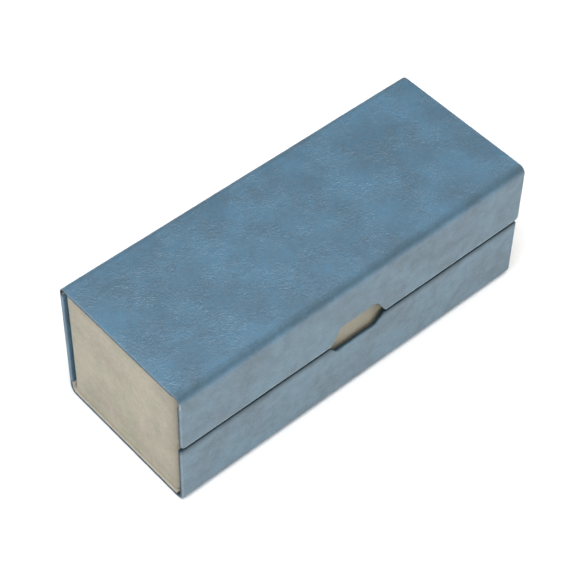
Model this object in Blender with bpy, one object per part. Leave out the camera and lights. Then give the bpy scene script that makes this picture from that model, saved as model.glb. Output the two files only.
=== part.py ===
"""Two-slot spectacle box: a folding cover round a rigid tray, with a hinged lid and a hinged flap.

Frame: +X along the box, -Y towards the flap, +Z up, origin in the middle of the underside.
Every length is in metres. The box is modelled closed.
"""

import math

import bmesh
import bpy
from mathutils import Matrix, Vector

# The closed box
LENGTH = 0.180
DEPTH = 0.0724
HEIGHT = 0.0652

# The cover's laminate, from the outside in: leather, board, lining
LEATHER = 0.0004
BOARD = 0.0010
LINING = 0.0004
GLUE = 0.0001
CAP = LEATHER + GLUE + BOARD
PANEL = CAP + GLUE + LINING
LINING_MARGIN = 0.0002

# The cover's folds
CREASE_RADIUS = 0.0035
BASE_RADIUS = 0.0040
FOLD_STEPS = 6

# The front: the flap above a gap, the fixed lower front below it, set back by FLAP_PROUD
GAP_HEIGHT = 0.0341
GAP = 0.0024
FLAP_PROUD = 0.0006
FLAP_CORNER_RADIUS = 0.0035
LOWER_CORNER_RADIUS = 0.0008

# The finger notch, shared between the flap and the lower front
NOTCH_MOUTH = 0.0290
NOTCH_ROOF = 0.0190
NOTCH_RISE = 0.0084
NOTCH_FLOOR = 0.0214
NOTCH_DROP = 0.0046

# The tray
TRAY_OVERHANG = 0.0008
TRAY_FRONT_GAP = 0.0013
TRAY_BACK_GAP = 0.0012
TRAY_LID_GAP = 0.0004
TRAY_SKIN = 0.0004
TRAY_BOARD = 0.0015
TRAY_EDGE_RADIUS = 0.0030
TRAY_FOOT_RADIUS = 0.0025
TRAY_RIM_RADIUS = 0.0012
LINER = 0.0004
LINER_CORNER_RADIUS = 0.0015

# What stands in the tray
DIVIDER_BOARD = 0.0012
DIVIDER_CLOTH = 0.0004
DIVIDER_TOP = 0.0535
PAD_THICKNESS = 0.0035
PAD_GAP = 0.0003
PAD_ROUNDING = 0.0012

# The closure's magnets
MAGNET_RADIUS = 0.0050
MAGNET_POCKET_RADIUS = 0.0053
MAGNET_X = 0.0550
MAGNET_Z = 0.0495
TRAY_MAGNET_THICKNESS = 0.0012

# Planes that several pieces share
END = LENGTH / 2
FLAP_FACE = -DEPTH / 2
BACK_FACE = DEPTH / 2
FRONT_FACE = FLAP_FACE + FLAP_PROUD
LID_INNER = HEIGHT - PANEL
FLAP_BOTTOM = GAP_HEIGHT + GAP / 2
FRONT_TOP = GAP_HEIGHT - GAP / 2
CREASE_Z = HEIGHT - CREASE_RADIUS
FRONT_CREASE_Y = FLAP_FACE + CREASE_RADIUS
BACK_CREASE_Y = BACK_FACE - CREASE_RADIUS
HALF_GLUE = GLUE / 2
TRAY_END = END - TRAY_OVERHANG
TRAY_FRONT = FRONT_FACE + CAP + TRAY_FRONT_GAP
TRAY_BACK = BACK_FACE - PANEL - TRAY_BACK_GAP
TRAY_BOTTOM = PANEL + GLUE
TRAY_TOP = LID_INNER - TRAY_LID_GAP
WALL_OUTER = TRAY_SKIN + GLUE
WALL_INNER = WALL_OUTER + TRAY_BOARD
FLOOR_TOP = TRAY_BOTTOM + WALL_INNER
SLOT_INSET = WALL_INNER + GLUE + LINER
SLOT_FLOOR = TRAY_BOTTOM + SLOT_INSET
SLOT_END = TRAY_END - SLOT_INSET
SLOT_FRONT = TRAY_FRONT + SLOT_INSET
SLOT_BACK = TRAY_BACK - SLOT_INSET
DIVIDER_Y = (SLOT_FRONT + SLOT_BACK) / 2
DIVIDER_HALF = DIVIDER_BOARD / 2 + GLUE + DIVIDER_CLOTH

# A crease turns about the middle of its leather's arc
CREASE_REACH = (CREASE_RADIUS - LEATHER / 2) * math.sqrt(0.5)
HINGE_Z = CREASE_Z + CREASE_REACH
LID_HINGE_Y = BACK_CREASE_Y + CREASE_REACH
FLAP_HINGE_Y = FRONT_CREASE_Y - CREASE_REACH

# Base colour (linear), roughness and metallic value of each finish
BLUE_LEATHER = ((0.118, 0.224, 0.322), 0.55, 0.0)
BEIGE_LEATHER = ((0.434, 0.407, 0.342), 0.60, 0.0)
BEIGE_SUEDE = ((0.462, 0.423, 0.347), 0.95, 0.0)
GREYBOARD = ((0.300, 0.275, 0.235), 0.90, 0.0)
NICKEL = ((0.560, 0.545, 0.520), 0.30, 1.0)

# How an outline's own axes lie in the box: drawn in XY, in XZ or in YZ, and extruded along the third
PLANES = {
    "XY": Matrix.Identity(4),
    "XZ": Matrix(((1, 0, 0, 0), (0, 0, -1, 0), (0, 1, 0, 0), (0, 0, 0, 1))),
    "YZ": Matrix(((0, 0, 1, 0), (1, 0, 0, 0), (0, 1, 0, 0), (0, 0, 0, 1))),
}


def clear_scene():
    for obj in list(bpy.data.objects):
        bpy.data.objects.remove(obj)


def new_collection(name):
    collection = bpy.data.collections.new(name)
    bpy.context.scene.collection.children.link(collection)
    return collection


# ---- outlines -------------------------------------------------------------------------------------


def elbow(centre, reach_u, reach_v, start, end):
    """Points on a quarter turn round centre, with its own reach along each axis."""
    points = []
    for step in range(FOLD_STEPS + 1):
        angle = math.radians(start + (end - start) * step / FOLD_STEPS)
        u = centre[0] + reach_u * math.cos(angle)
        v = centre[1] + reach_v * math.sin(angle)
        points.append((u, v))
    return points


def corner(u, v, radius, start):
    """A rounded corner of an anticlockwise outline: (u, v) is where its two sides would meet."""
    middle = math.radians(start + 45)
    inward_u = -math.copysign(radius, math.cos(middle))
    inward_v = -math.copysign(radius, math.sin(middle))
    return elbow((u + inward_u, v + inward_v), radius, radius, start, start + 90)


def rounded_rectangle(low_u, high_u, low_v, high_v, radius):
    return (
        corner(low_u, low_v, radius, 180)
        + corner(high_u, low_v, radius, 270)
        + corner(high_u, high_v, radius, 0)
        + corner(low_u, high_v, radius, 90)
    )


def rectangle(low_u, high_u, low_v, high_v):
    return [(low_u, low_v), (high_u, low_v), (high_u, high_v), (low_u, high_v)]


def inset(outline, distance):
    """The outline with every side moved inwards by distance, its corners kept sharp."""
    moved = []
    count = len(outline)
    for index in range(count):
        before = Vector(outline[index - 1])
        here = Vector(outline[index])
        after = Vector(outline[(index + 1) % count])
        normals = []
        for side in (here - before, after - here):
            side.normalize()
            normals.append(Vector((-side.y, side.x)))
        bisector = (normals[0] + normals[1]) / (1 + normals[0].dot(normals[1]))
        moved.append(tuple(here + distance * bisector))
    return moved


def flap_outline(margin, past_crease):
    """The flap seen from the front, inset by margin, except that it reaches past_crease at the top."""
    top = CREASE_Z - HALF_GLUE + margin + past_crease
    outline = (
        corner(-END, FLAP_BOTTOM, FLAP_CORNER_RADIUS, 180)
        + [
            (-NOTCH_MOUTH / 2, FLAP_BOTTOM),
            (-NOTCH_ROOF / 2, FLAP_BOTTOM + NOTCH_RISE),
            (NOTCH_ROOF / 2, FLAP_BOTTOM + NOTCH_RISE),
            (NOTCH_MOUTH / 2, FLAP_BOTTOM),
        ]
        + corner(END, FLAP_BOTTOM, FLAP_CORNER_RADIUS, 270)
        + [(END, top), (-END, top)]
    )
    return inset(outline, margin)


def lower_front_outline(margin, bottom):
    """The lower front seen from the front, inset by margin everywhere but along its bottom."""
    outline = (
        [(-END, bottom - margin), (END, bottom - margin)]
        + corner(END, FRONT_TOP, LOWER_CORNER_RADIUS, 0)
        + [
            (NOTCH_MOUTH / 2, FRONT_TOP),
            (NOTCH_FLOOR / 2, FRONT_TOP - NOTCH_DROP),
            (-NOTCH_FLOOR / 2, FRONT_TOP - NOTCH_DROP),
            (-NOTCH_MOUTH / 2, FRONT_TOP),
        ]
        + corner(-END, FRONT_TOP, LOWER_CORNER_RADIUS, 90)
    )
    return inset(outline, margin)


def cover_path(depth, front_depth, front_top, back_top):
    """The folded cover seen from its end, this far below its outer face: front, base and back."""
    front = FRONT_FACE + front_depth
    back = BACK_FACE - depth
    front_centre = (FRONT_FACE + BASE_RADIUS, BASE_RADIUS)
    back_centre = (BACK_FACE - BASE_RADIUS, BASE_RADIUS)
    reach = BASE_RADIUS - depth
    return (
        [(front, front_top)]
        + elbow(front_centre, BASE_RADIUS - front_depth, reach, 180, 270)
        + elbow(back_centre, reach, reach, 270, 360)
        + [(back, back_top)]
    )


def lining_path(depth, back_top):
    """The base's lining seen from its end: the base, the rear fold and the back."""
    back_centre = (BACK_FACE - BASE_RADIUS, BASE_RADIUS)
    reach = BASE_RADIUS - depth
    return (
        [(FRONT_FACE + BASE_RADIUS, depth)]
        + elbow(back_centre, reach, reach, 270, 360)
        + [(BACK_FACE - depth, back_top)]
    )


def band(outer, inner):
    """The closed outline between two open paths that run the same way."""
    return outer + inner[::-1]


# ---- solids ---------------------------------------------------------------------------------------


def as_mesh(curve_object):
    """A mesh object in place of a filled curve, its caps welded to its sides."""
    graph = bpy.context.evaluated_depsgraph_get()
    mesh = bpy.data.meshes.new_from_object(curve_object.evaluated_get(graph))
    shape = bmesh.new()
    shape.from_mesh(mesh)
    bmesh.ops.remove_doubles(shape, verts=shape.verts, dist=1e-6)
    bmesh.ops.recalc_face_normals(shape, faces=shape.faces)
    shape.to_mesh(mesh)
    shape.free()
    solid = bpy.data.objects.new(curve_object.name, mesh)
    solid.matrix_world = curve_object.matrix_world
    name = curve_object.name
    bpy.data.objects.remove(curve_object)
    solid.name = name
    return solid


def prism(name, outline, plane, low, high, collection):
    """The outline drawn in a plane and extruded along the plane's normal from low to high."""
    curve = bpy.data.curves.new(name, "CURVE")
    curve.dimensions = "2D"
    curve.fill_mode = "BOTH"
    curve.extrude = (high - low) / 2
    spline = curve.splines.new("POLY")
    spline.points.add(len(outline) - 1)
    for point, (u, v) in zip(spline.points, outline):
        point.co = (u, v, 0, 1)
    spline.use_cyclic_u = True
    guide = bpy.data.objects.new(name, curve)
    collection.objects.link(guide)
    turn = PLANES[plane]
    normal = Vector({"XY": (0, 0, 1), "XZ": (0, 1, 0), "YZ": (1, 0, 0)}[plane])
    guide.matrix_world = Matrix.Translation(normal * (low + high) / 2) @ turn
    bpy.context.view_layer.update()
    solid = as_mesh(guide)
    collection.objects.link(solid)
    return solid


def box(name, low, high, collection):
    outline = rectangle(low[0], high[0], low[1], high[1])
    return prism(name, outline, "XY", low[2], high[2], collection)


def round_edges(solid, chosen, radius, segments):
    """Rounds the edges of a mesh whose two ends both satisfy chosen, in the mesh's own axes."""
    shape = bmesh.new()
    shape.from_mesh(solid.data)
    bmesh.ops.dissolve_limit(shape, angle_limit=0.001, verts=shape.verts, edges=shape.edges)
    edges = [edge for edge in shape.edges if all(chosen(vert.co) for vert in edge.verts)]
    bmesh.ops.bevel(
        shape, geom=edges, offset=radius, offset_type="OFFSET", segments=segments, profile=0.5, affect="EDGES"
    )
    shape.to_mesh(solid.data)
    shape.free()


def cylinder(name, centre, radius, thickness, collection):
    """A disc that lies flat against the front wall."""
    bpy.ops.mesh.primitive_cylinder_add(
        vertices=32, radius=radius, depth=thickness, location=centre, rotation=(math.pi / 2, 0, 0)
    )
    disc = bpy.context.active_object
    disc.name = name
    for owner in list(disc.users_collection):
        owner.objects.unlink(disc)
    collection.objects.link(disc)
    return disc


def as_cutter(solid):
    solid.hide_render = True
    solid.display_type = "WIRE"
    return solid


def combine(solid, other, operation):
    modifier = solid.modifiers.new(operation.title(), "BOOLEAN")
    modifier.operation = operation
    modifier.solver = "EXACT"
    modifier.object = as_cutter(other)
    return solid


def finish(solid, look):
    """Gives a piece its own material and shades it smooth, with its corners kept sharp."""
    colour, roughness, metallic = look
    material = bpy.data.materials.new(solid.name)
    material.use_nodes = True
    shader = material.node_tree.nodes["Principled BSDF"]
    shader.inputs["Base Color"].default_value = (*colour, 1.0)
    shader.inputs["Roughness"].default_value = roughness
    shader.inputs["Metallic"].default_value = metallic
    solid.data.materials.clear()
    solid.data.materials.append(material)
    solid.data.shade_smooth()
    solid.data.set_sharp_from_angle(angle=math.radians(30))
    return solid


# ---- the flap -------------------------------------------------------------------------------------


def flap_prism(name, margin, outer_depth, inner_depth, past_crease, collection):
    low = FLAP_FACE + outer_depth
    high = FLAP_FACE + inner_depth
    return prism(name, flap_outline(margin, past_crease), "XZ", low, high, collection)


def magnet_pockets(board, y, thickness):
    for side in (-1, 1):
        name = f"{board.name}_pocket_{'left' if side < 0 else 'right'}"
        centre = (side * MAGNET_X, y, MAGNET_Z)
        pocket = cylinder(name, centre, MAGNET_POCKET_RADIUS, 2 * thickness, cutters)
        combine(board, pocket, "DIFFERENCE")


def magnet_pair(prefix, y, thickness):
    discs = []
    for side, word in ((-1, "left"), (1, "right")):
        centre = (side * MAGNET_X, y, MAGNET_Z)
        disc = cylinder(f"{prefix}_magnet_{word}", centre, MAGNET_RADIUS, thickness, parts)
        discs.append(finish(disc, NICKEL))
    return discs


def make_flap():
    leather = flap_prism("flap_leather", 0, 0, CAP, 0, parts)
    hollow = flap_prism("flap_leather_hollow", LEATHER, LEATHER, 2 * PANEL, LEATHER, cutters)
    combine(leather, hollow, "DIFFERENCE")
    board = flap_prism("flap_board", LEATHER + GLUE, LEATHER + GLUE, CAP, 0, parts)
    board_y = FLAP_FACE + LEATHER + GLUE + BOARD / 2
    magnet_pockets(board, board_y, BOARD)
    lining = flap_prism("flap_lining", LINING_MARGIN, CAP + GLUE, PANEL, 0, parts)
    pieces = [finish(leather, BLUE_LEATHER), finish(board, GREYBOARD), finish(lining, BEIGE_SUEDE)]
    return pieces + magnet_pair("flap", board_y, BOARD)


# ---- the lid --------------------------------------------------------------------------------------


def lid_prism(name, end, outer_depth, inner_depth, grow, collection):
    """A slab of the lid between the creases, reaching grow past each of them."""
    outline = rectangle(-end, end, FRONT_CREASE_Y + HALF_GLUE - grow, BACK_CREASE_Y - HALF_GLUE + grow)
    return prism(name, outline, "XY", HEIGHT - inner_depth, HEIGHT - outer_depth, collection)


def make_lid():
    leather = lid_prism("lid_leather", END, 0, CAP, 0, parts)
    hollow = lid_prism("lid_leather_hollow", END - LEATHER, LEATHER, 2 * PANEL, LEATHER, cutters)
    combine(leather, hollow, "DIFFERENCE")
    board = lid_prism("lid_board", END - LEATHER - GLUE, LEATHER + GLUE, CAP, 0, parts)
    lining = lid_prism("lid_lining", END - LINING_MARGIN, CAP + GLUE, PANEL, 0, parts)
    return [finish(leather, BLUE_LEATHER), finish(board, GREYBOARD), finish(lining, BEIGE_SUEDE)]


# ---- the creases ----------------------------------------------------------------------------------


def crease(name, centre_y, start, depth, thickness, end, look):
    """The quarter turn of one sheet between two panels."""
    centre = (centre_y, CREASE_Z)
    outer = CREASE_RADIUS - depth
    inner = outer - thickness
    outline = band(
        elbow(centre, outer, outer, start, start + 90), elbow(centre, inner, inner, start, start + 90)
    )
    return finish(prism(name, outline, "YZ", -end, end, parts), look)


def make_creases(prefix, centre_y, start):
    lining_depth = LEATHER + GLUE
    lining_end = END - LINING_MARGIN
    return [
        crease(f"{prefix}_crease_leather", centre_y, start, 0, LEATHER, END, BLUE_LEATHER),
        crease(f"{prefix}_crease_lining", centre_y, start, lining_depth, LINING, lining_end, BEIGE_SUEDE),
    ]


# ---- the fixed part of the cover ------------------------------------------------------------------


def notch_prism(name, margin, collection):
    """Cuts the finger notch through the lower front, grown by margin."""
    above = GAP_HEIGHT + PANEL
    slope = (NOTCH_MOUTH - NOTCH_FLOOR) / 2 / NOTCH_DROP
    flare = slope * (above - FRONT_TOP)
    floor_z = FRONT_TOP - NOTCH_DROP
    outline = [
        (-NOTCH_FLOOR / 2, floor_z),
        (NOTCH_FLOOR / 2, floor_z),
        (NOTCH_MOUTH / 2 + flare, above),
        (-NOTCH_MOUTH / 2 - flare, above),
    ]
    return prism(name, inset(outline, -margin), "XZ", FRONT_FACE - PANEL, FRONT_FACE + 2 * PANEL, collection)


def make_body_leather():
    back_top = CREASE_Z - HALF_GLUE
    outer = cover_path(0, 0, FRONT_TOP, back_top)
    inner = cover_path(CAP, CAP, FRONT_TOP, back_top)
    leather = prism("body_leather", band(inner, outer), "YZ", -END, END, parts)

    past_the_top = back_top + PANEL
    skin = cover_path(LEATHER, LEATHER, FRONT_TOP - LEATHER, past_the_top)
    open_side = cover_path(PANEL, PANEL, FRONT_TOP - LEATHER, past_the_top)
    hollow_end = END - LEATHER
    hollow = prism("body_leather_hollow", band(open_side, skin), "YZ", -hollow_end, hollow_end, cutters)
    combine(hollow, notch_prism("notch_rim", LEATHER, cutters), "DIFFERENCE")
    combine(leather, hollow, "DIFFERENCE")
    combine(leather, notch_prism("notch", 0, cutters), "DIFFERENCE")
    return finish(leather, BLUE_LEATHER)


def make_body_lining():
    back_top = CREASE_Z - HALF_GLUE
    outline = band(lining_path(PANEL, back_top), lining_path(CAP + GLUE, back_top))
    end = END - LINING_MARGIN
    return finish(prism("body_lining", outline, "YZ", -end, end, parts), BEIGE_SUEDE)


def make_body_boards():
    end = END - LEATHER - GLUE
    skin = LEATHER + GLUE
    base = box(
        "base_board",
        (-end, FRONT_FACE + BASE_RADIUS + GLUE, skin),
        (end, BACK_FACE - BASE_RADIUS - GLUE, CAP),
        parts,
    )
    back = box(
        "back_board",
        (-end, BACK_FACE - CAP, BASE_RADIUS + GLUE),
        (end, BACK_FACE - skin, CREASE_Z - HALF_GLUE),
        parts,
    )
    outline = lower_front_outline(skin, BASE_RADIUS + GLUE)
    front = prism("front_board", outline, "XZ", FRONT_FACE + skin, FRONT_FACE + CAP, parts)
    return [finish(base, GREYBOARD), finish(back, GREYBOARD), finish(front, GREYBOARD)]


# ---- the tray -------------------------------------------------------------------------------------


def tray_block(name, margin, collection):
    """The whole tray as a solid block, with its rounded edges, inset by margin."""
    outline = rounded_rectangle(
        -TRAY_END + margin,
        TRAY_END - margin,
        TRAY_FRONT + margin,
        TRAY_BACK - margin,
        TRAY_EDGE_RADIUS - margin,
    )
    block = prism(name, outline, "XY", TRAY_BOTTOM + margin, TRAY_TOP - margin, collection)
    half = (TRAY_TOP - TRAY_BOTTOM) / 2 - margin
    round_edges(block, lambda co: co.z < -half + 1e-5, TRAY_FOOT_RADIUS - margin, 4)
    round_edges(block, lambda co: co.z > half - 1e-5, TRAY_RIM_RADIUS - margin, 3)
    return block


def tray_wall(name, low, high):
    """A board of the tray: a flat slab kept within the tray's rounded form."""
    wall = box(name, low, high, parts)
    combine(wall, tray_block(f"{name}_form", WALL_OUTER, cutters), "INTERSECT")
    return wall


def make_tray_boards():
    end = TRAY_END - WALL_INNER
    front = TRAY_FRONT + WALL_INNER
    back = TRAY_BACK - WALL_INNER
    past = WALL_INNER
    walls = [
        tray_wall("tray_front_board", (-TRAY_END, front - past, 0), (TRAY_END, front, HEIGHT)),
        tray_wall("tray_back_board", (-TRAY_END, back, 0), (TRAY_END, back + past, HEIGHT)),
        tray_wall("tray_left_board", (-end - past, front + GLUE, 0), (-end, back - GLUE, HEIGHT)),
        tray_wall("tray_right_board", (end, front + GLUE, 0), (end + past, back - GLUE, HEIGHT)),
        tray_wall("tray_floor_board", (-end + GLUE, front + GLUE, 0), (end - GLUE, back - GLUE, FLOOR_TOP)),
    ]
    magnet_y = front - TRAY_BOARD / 2
    magnet_pockets(walls[0], magnet_y, TRAY_BOARD)
    for wall in walls:
        finish(wall, GREYBOARD)
    return walls + magnet_pair("tray", magnet_y, TRAY_MAGNET_THICKNESS)


def make_tray_wrap():
    wrap = tray_block("tray_wrap", 0, parts)
    combine(wrap, tray_block("tray_wrap_hollow", TRAY_SKIN, cutters), "DIFFERENCE")
    mouth = box(
        "tray_wrap_mouth",
        (-TRAY_END + WALL_INNER, TRAY_FRONT + WALL_INNER, SLOT_FLOOR),
        (TRAY_END - WALL_INNER, TRAY_BACK - WALL_INNER, HEIGHT),
        cutters,
    )
    combine(wrap, mouth, "DIFFERENCE")
    return finish(wrap, BEIGE_LEATHER)


def liner_prism(name, margin, low, high, collection):
    outline = rounded_rectangle(
        -SLOT_END - LINER + margin,
        SLOT_END + LINER - margin,
        SLOT_FRONT - LINER + margin,
        SLOT_BACK + LINER - margin,
        LINER_CORNER_RADIUS,
    )
    return prism(name, outline, "XY", low, high, collection)


def make_tray_liner():
    liner = liner_prism("tray_liner", 0, SLOT_FLOOR - LINER, TRAY_TOP - WALL_OUTER, parts)
    combine(liner, liner_prism("tray_liner_hollow", LINER, SLOT_FLOOR, HEIGHT, cutters), "DIFFERENCE")
    return finish(liner, BEIGE_SUEDE)


def make_divider():
    foot = SLOT_FLOOR + GLUE
    end = SLOT_END - PAD_GAP
    half_board = DIVIDER_BOARD / 2
    cloth = box(
        "divider_cloth",
        (-end, DIVIDER_Y - DIVIDER_HALF, foot),
        (end, DIVIDER_Y + DIVIDER_HALF, DIVIDER_TOP),
        parts,
    )
    inside = end - DIVIDER_CLOTH
    hollow = box(
        "divider_cloth_hollow",
        (-inside, DIVIDER_Y - half_board - GLUE, 0),
        (inside, DIVIDER_Y + half_board + GLUE, DIVIDER_TOP - DIVIDER_CLOTH),
        cutters,
    )
    combine(cloth, hollow, "DIFFERENCE")
    board = box(
        "divider_board",
        (-inside + GLUE, DIVIDER_Y - half_board, foot),
        (inside - GLUE, DIVIDER_Y + half_board, DIVIDER_TOP - DIVIDER_CLOTH - GLUE),
        parts,
    )
    return [finish(cloth, BEIGE_SUEDE), finish(board, GREYBOARD)]


def make_pad(name, low_y, high_y):
    foot = SLOT_FLOOR + GLUE
    end = SLOT_END - PAD_GAP
    outline = rounded_rectangle(-end, end, low_y + PAD_GAP, high_y - PAD_GAP, LINER_CORNER_RADIUS)
    pad = prism(name, outline, "XY", foot, foot + PAD_THICKNESS, parts)
    round_edges(pad, lambda co: co.z > 0, PAD_ROUNDING, 3)
    return finish(pad, BEIGE_SUEDE)


# ---- the assembly ---------------------------------------------------------------------------------


def pivot(name, y, parent):
    """An empty on a crease's axis, which every piece that turns about it hangs from."""
    empty = bpy.data.objects.new(name, None)
    empty.empty_display_size = BASE_RADIUS
    empty.location = (0, y, HINGE_Z)
    parts.objects.link(empty)
    if parent:
        hang([empty], parent)
    bpy.context.view_layer.update()
    return empty


def hang(pieces, parent):
    """Parents the pieces without moving them."""
    bpy.context.view_layer.update()
    for piece in pieces:
        piece.parent = parent
        piece.matrix_parent_inverse = parent.matrix_world.inverted()


clear_scene()
parts = new_collection("spectacle_box")
cutters = new_collection("cutters")

make_body_leather()
make_body_lining()
make_body_boards()
make_creases("lid", BACK_CREASE_Y, 0)

make_tray_boards()
make_tray_wrap()
make_tray_liner()
make_divider()
make_pad("slot_pad_front", SLOT_FRONT, DIVIDER_Y - DIVIDER_HALF)
make_pad("slot_pad_rear", DIVIDER_Y + DIVIDER_HALF, SLOT_BACK)

lid_pivot = pivot("lid_pivot", LID_HINGE_Y, None)
hang(make_lid() + make_creases("flap", FRONT_CREASE_Y, 90), lid_pivot)

flap_pivot = pivot("flap_pivot", FLAP_HINGE_Y, lid_pivot)
hang(make_flap(), flap_pivot)
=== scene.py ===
"""The looks of the spectacle box: clouded faux leather folded round a beige tray, suede linings and pads.

The cover's sheets are stretches of one run of cloth. Seen from the box's end, it starts at the flap's free
edge and goes up, over the lid, down the back, under the base and up the lower front. A place on it is
(x, s, depth): x along the box, s along the run and depth inwards from the outer face. x and s are also the
cloth's texture coordinates, so its clouding and grain run on across every fold.
"""

import math

import bmesh
import bpy
import numpy as np
from mathutils import Matrix, Vector, noise


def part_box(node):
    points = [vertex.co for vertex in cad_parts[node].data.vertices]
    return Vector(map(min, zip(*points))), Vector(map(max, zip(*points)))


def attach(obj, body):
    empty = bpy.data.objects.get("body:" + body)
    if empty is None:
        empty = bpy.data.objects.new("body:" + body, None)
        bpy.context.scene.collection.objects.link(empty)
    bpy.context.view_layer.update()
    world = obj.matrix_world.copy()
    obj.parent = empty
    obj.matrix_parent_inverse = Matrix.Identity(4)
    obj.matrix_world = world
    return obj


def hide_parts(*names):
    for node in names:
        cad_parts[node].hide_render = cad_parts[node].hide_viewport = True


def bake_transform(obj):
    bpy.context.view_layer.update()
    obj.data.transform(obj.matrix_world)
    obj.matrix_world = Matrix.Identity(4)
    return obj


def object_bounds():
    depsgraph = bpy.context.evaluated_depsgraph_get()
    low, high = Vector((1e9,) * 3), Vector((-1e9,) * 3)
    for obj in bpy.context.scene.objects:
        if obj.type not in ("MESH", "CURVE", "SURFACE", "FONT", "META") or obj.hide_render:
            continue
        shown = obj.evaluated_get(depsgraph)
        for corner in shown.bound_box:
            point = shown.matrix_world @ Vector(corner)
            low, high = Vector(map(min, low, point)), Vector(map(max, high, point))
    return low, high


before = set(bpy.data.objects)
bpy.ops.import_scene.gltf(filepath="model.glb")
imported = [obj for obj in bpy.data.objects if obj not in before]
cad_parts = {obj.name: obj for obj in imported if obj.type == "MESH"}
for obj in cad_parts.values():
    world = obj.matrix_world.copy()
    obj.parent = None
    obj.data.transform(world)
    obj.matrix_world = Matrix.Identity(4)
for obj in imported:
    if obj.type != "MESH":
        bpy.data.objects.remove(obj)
cad_low, cad_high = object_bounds()

MM = 0.001

# ---- sizes taken from the frame -------------------------------------------------------------------

flap_low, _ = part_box("flap_leather")
_, lid_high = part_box("lid_leather")
body_low, body_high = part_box("body_leather")
_, lid_lining_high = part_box("lid_lining")
front_crease_low, front_crease_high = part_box("flap_crease_leather")
back_crease_low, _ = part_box("lid_crease_leather")
base_board_low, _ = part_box("base_board")
wrap_low, wrap_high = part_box("tray_wrap")
liner_low, liner_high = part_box("tray_liner")
divider_low, divider_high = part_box("divider_cloth")

END = body_high.x
TOP = lid_high.z
FLAP_FACE = flap_low.y
FRONT_FACE = body_low.y
BACK_FACE = body_high.y
CREASE_RADIUS = TOP - front_crease_low.z
CREASE_Z = TOP - CREASE_RADIUS
GLUE = 0.1 * MM
BASE_RADIUS = base_board_low.y - GLUE - FRONT_FACE
LINING_DEPTH = TOP - lid_lining_high.z

# ---- the cover's shape, finer than the frame ------------------------------------------------------

SKIN = 0.36 * MM
LINING_THICKNESS = 0.36 * MM
EDGE_ROUNDING = 0.60 * MM
EDGE_RADIUS = 0.42 * MM
EDGE_STEPS = 5
TURNED_DEPTH = 1.86 * MM
BOARD_FADE = 1.5 * MM
TURN_IN = 0.78 * MM
TURN_IN_STEPS = 3
LINING_INSET = 0.7 * MM
CREASE_LINING_INSET = 2.5 * MM
BASE_LINING_INSET = 0.1 * MM
BACK_LINING_INSET = 9.0 * MM
BACK_TURN_IN = 9.4 * MM
LINING_CURL = 3.0 * MM
LINING_SLANT = 0.5 * MM
LINING_SINK = 1.2 * MM
COLUMN_STEP = 2.5 * MM
ROW_STEP = 2.0 * MM
FOLD_STEPS = 14
CORNER_STEPS = 8
CREASE_OVERLAP = 2.0 * MM
CREASE_EDGE_DEPTH = 0.76 * MM
CREASE_LINING_DEPTH = 0.50 * MM
FLAP_CORNER = 2.0 * MM
LOWER_CORNER = 0.8 * MM
MOUTH_CORNER = 1.2 * MM
NOTCH_CORNER = 2.6 * MM
PAST_NOTCH = 2.5 * MM
FLAP_OVERHANG = 0.3 * MM
SHARP = math.radians(35)

# Soft unevenness of the leather, broad and fine: its size along x and along s, its height and its seed.
BROAD_RELIEF = (26 * MM, 18 * MM, 0.07 * MM, 3.7)
FINE_RELIEF = (7 * MM, 6 * MM, 0.025 * MM, 9.1)
VALLEY_FROM_CREASE = 0.9 * MM
VALLEY_WIDTH = 1.3 * MM
VALLEY_DEPTH = 0.10 * MM

# A turned edge's vertices hold a value: 1 where pale from wear and a painted highlight, -1 where dark with
# painted shade in a gap. It is the rim value below where a turned edge leaves the flat, RIM_WIDTH past the
# grid. Scales below change the pale part, and a negative one paints shade: at the ends, or as (free edge,
# notch).
RIM_WEAR_AND_HIGHLIGHT = 0.8
RIM_WIDTH = 0.075 * MM
WEAR_AND_HIGHLIGHT_LESS_BELOW = 0.3
BACK_TURN_IN_PAINTED_SHADE = -0.1
SIDE_WEAR_AND_HIGHLIGHT = 0.45
FLAP_WEAR_AND_HIGHLIGHT = (1.3, 0.0)
LOWER_PAINTED_SHADE_AND_WEAR = (-0.3, 0.1)


def smooth_step(low, high, value):
    t = min(1.0, max(0.0, (value - low) / (high - low)))
    return t * t * (3 - 2 * t)


def notch_of(node, face_y):
    """(the panel's free edge's height, half the notch's mouth, half its far side, the far side's height)."""
    face = [v.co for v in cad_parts[node].data.vertices if abs(v.co.y - face_y) < GLUE]
    near_middle = [co for co in face if abs(co.x) < END / 4]
    mouth = max(near_middle, key=lambda co: abs(co.x))
    far = [co for co in near_middle if abs(co.z - mouth.z) > MM]
    return mouth.z, abs(mouth.x), max(abs(co.x) for co in far), far[0].z


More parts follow.
